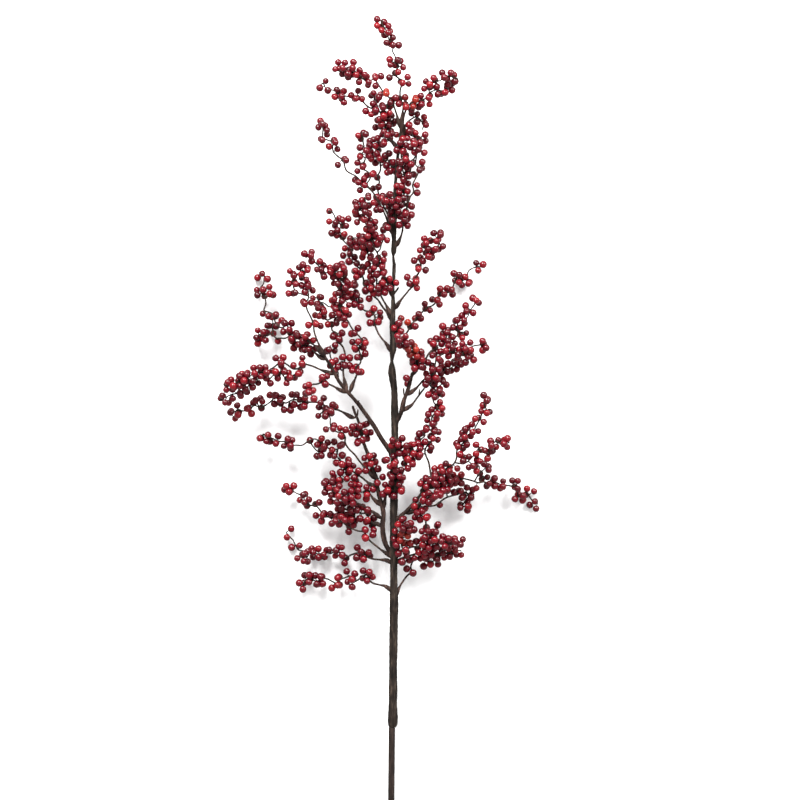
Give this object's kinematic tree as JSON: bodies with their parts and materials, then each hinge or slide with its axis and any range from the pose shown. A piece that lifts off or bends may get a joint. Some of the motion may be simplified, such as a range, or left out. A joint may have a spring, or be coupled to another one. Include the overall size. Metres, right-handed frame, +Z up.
{
  "type": "winterberry spray",
  "caption": "Long wrapped stem with curling side twigs covered in glossy red berries, lying on its back, for vases, wreaths and garlands",
  "frame": {"origin": "middle of the footprint, on the ground the spray lies on", "axes": "+Y along the stem from the cut end to the top, +X to the right seen from above, +Z up from the ground"},
  "size_m": [0.3664, 0.9476, 0.1164],
  "materials": {
    "wrapped_wood": "dark brown wrapped tape, matt, with ridges and knots",
    "red_berries": "glossy deep red berries on thin dark twigs"
  },
  "bodies": {
    "root": {"branch_left": "wrapped_wood", "branch_low_left": "wrapped_wood", "branch_right_low": "wrapped_wood", "branch_right_mid": "wrapped_wood", "stem_lower": "wrapped_wood", "stem_middle": "wrapped_wood", "stem_rod": "wrapped_wood", "stem_upper": "wrapped_wood", "twig_bottom_left": "red_berries", "twig_bottom_left_upper": "red_berries", "twig_bottom_right": "red_berries", "twig_front_stem": "red_berries", "twig_leader": "red_berries", "twig_left_crown": "red_berries", "twig_left_far": "red_berries", "twig_left_inner": "red_berries", "twig_left_inner_right": "red_berries", "twig_left_long": "red_berries", "twig_left_low_short": "red_berries", "twig_left_mid": "red_berries", "twig_left_upper": "red_berries", "twig_low_left_back": "red_berries", "twig_low_left_inner": "red_berries", "twig_low_left_long": "red_berries", "twig_low_left_ring": "red_berries", "twig_low_left_short": "red_berries", "twig_low_left_thin": "red_berries", "twig_low_left_upper": "red_berries", "twig_mid_left": "red_berries", "twig_mid_left_front": "red_berries", "twig_mid_left_inner": "red_berries", "twig_mid_left_low": "red_berries", "twig_mid_right": "red_berries", "twig_mid_right_long": "red_berries", "twig_mid_spur": "red_berries", "twig_right_fork": "red_berries", "twig_right_long": "red_berries", "twig_right_low": "red_berries", "twig_right_low_arch": "red_berries", "twig_right_low_back": "red_berries", "twig_right_low_inner": "red_berries", "twig_right_low_upper": "red_berries", "twig_right_mid_high": "red_berries", "twig_right_mid_long": "red_berries", "twig_right_mid_low": "red_berries", "twig_right_mid_orange": "red_berries", "twig_right_tall": "red_berries", "twig_right_up": "red_berries", "twig_top_left": "red_berries", "twig_top_left_low": "red_berries", "twig_top_right": "red_berries", "twig_top_right_low": "red_berries", "twig_upper_front": "red_berries", "twig_upper_front_left": "red_berries", "twig_upper_left": "red_berries", "twig_upper_left_back": "red_berries", "twig_upper_left_back_low": "red_berries", "twig_upper_right": "red_berries", "twig_upper_right_back": "red_berries"}
  },
  "joints": []
}
